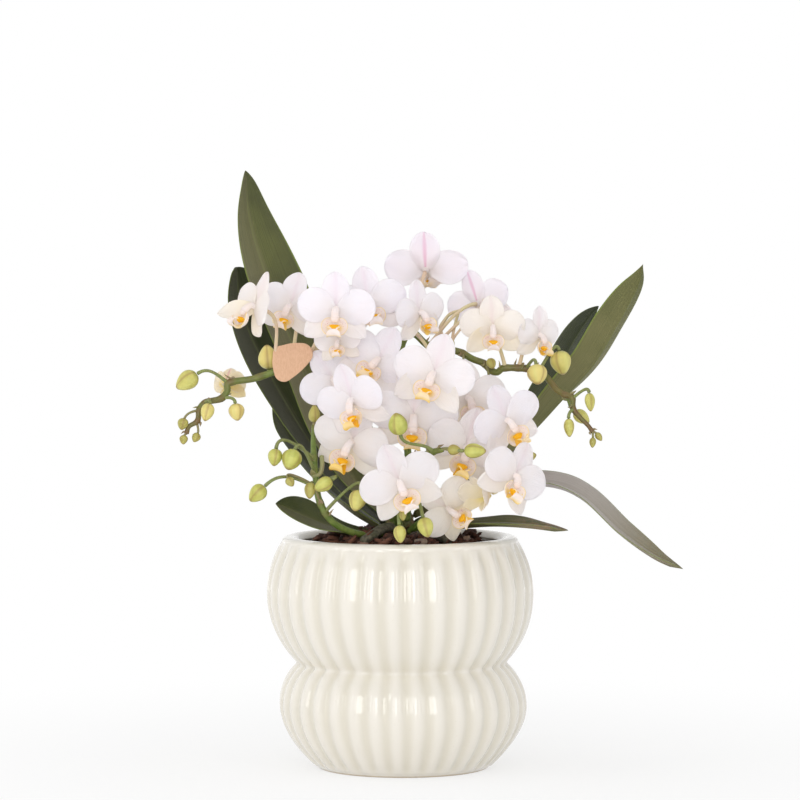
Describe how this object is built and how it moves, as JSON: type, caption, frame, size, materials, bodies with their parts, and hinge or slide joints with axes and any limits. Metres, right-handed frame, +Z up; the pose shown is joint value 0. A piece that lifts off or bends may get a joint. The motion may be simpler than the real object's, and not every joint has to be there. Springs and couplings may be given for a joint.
{
  "type": "potted moth orchid",
  "caption": "Miniature moth orchid with arching flower stalks and strap leaves, rooted in bark in a clear pot inside a ribbed, waisted cream ceramic outer pot; stands on its flat base.",
  "frame": {"origin": "centre of the outer pot's flat base, at floor level", "axes": "+Z up along the outer pot's axis; the flowers face -Y; the longest leaf that arches over the rim reaches +X"},
  "size_m": [0.2413, 0.1376, 0.287],
  "materials": {
    "cream_glaze": "glossy cream glaze, a little thinner on the ribs",
    "clear_plastic": "clear thin plastic",
    "orchid_bark": "rough, matt, reddish brown bark chips",
    "crown_stem": "satin green plant tissue, with matt grey-green roots",
    "leaf_blade": "waxy dark green leaf, greyer underneath",
    "flower_stalk": "satin olive green, browner at the joints",
    "petal_white": "soft matt white petal, faintly pink, with a yellow and peach heart",
    "petal_cream": "soft matt cream-yellow petal of a flower still opening",
    "bud_skin": "satin yellow-green bud with brownish seams",
    "kraft_card": "plain uncoated kraft card"
  },
  "bodies": {
    "root": {"cachepot": "cream_glaze", "grow_pot": "clear_plastic", "bark_bed": "orchid_bark", "crown": "crown_stem", "leaf_1": "leaf_blade", "leaf_2": "leaf_blade", "leaf_3": "leaf_blade", "leaf_4": "leaf_blade", "leaf_5": "leaf_blade", "leaf_6": "leaf_blade", "leaf_7": "leaf_blade", "leaf_8": "leaf_blade", "flower_spike_1": "flower_stalk", "flower_spike_2": "flower_stalk", "flower_spike_3": "flower_stalk", "flower_spike_4": "flower_stalk", "flower_spike_5": "flower_stalk", "flower_01": "petal_white", "flower_02": "petal_white", "flower_03": "petal_white", "flower_04": "petal_white", "flower_05": "petal_white", "flower_06": "petal_white", "flower_07": "petal_white", "flower_08": "petal_white", "flower_09": "petal_white", "flower_10": "petal_white", "flower_11": "petal_white", "flower_12": "petal_white", "flower_13": "petal_white", "flower_14": "petal_white", "flower_15": "petal_white", "flower_16": "petal_white", "flower_17": "petal_white", "flower_18": "petal_white", "flower_19": "petal_white", "flower_20": "petal_cream", "flower_21": "petal_white", "flower_22": "petal_cream", "flower_23": "petal_white", "flower_24": "petal_white", "bud_01": "bud_skin", "bud_02": "bud_skin", "bud_03": "bud_skin", "bud_04": "bud_skin", "bud_05": "bud_skin", "bud_06": "bud_skin", "bud_07": "bud_skin", "bud_08": "bud_skin", "bud_09": "bud_skin", "bud_10": "bud_skin", "bud_11": "bud_skin", "bud_12": "bud_skin", "bud_13": "bud_skin", "bud_14": "bud_skin", "bud_15": "bud_skin", "bud_16": "bud_skin", "bud_17": "bud_skin", "bud_18": "bud_skin", "plant_label": "kraft_card"}
  },
  "joints": []
}
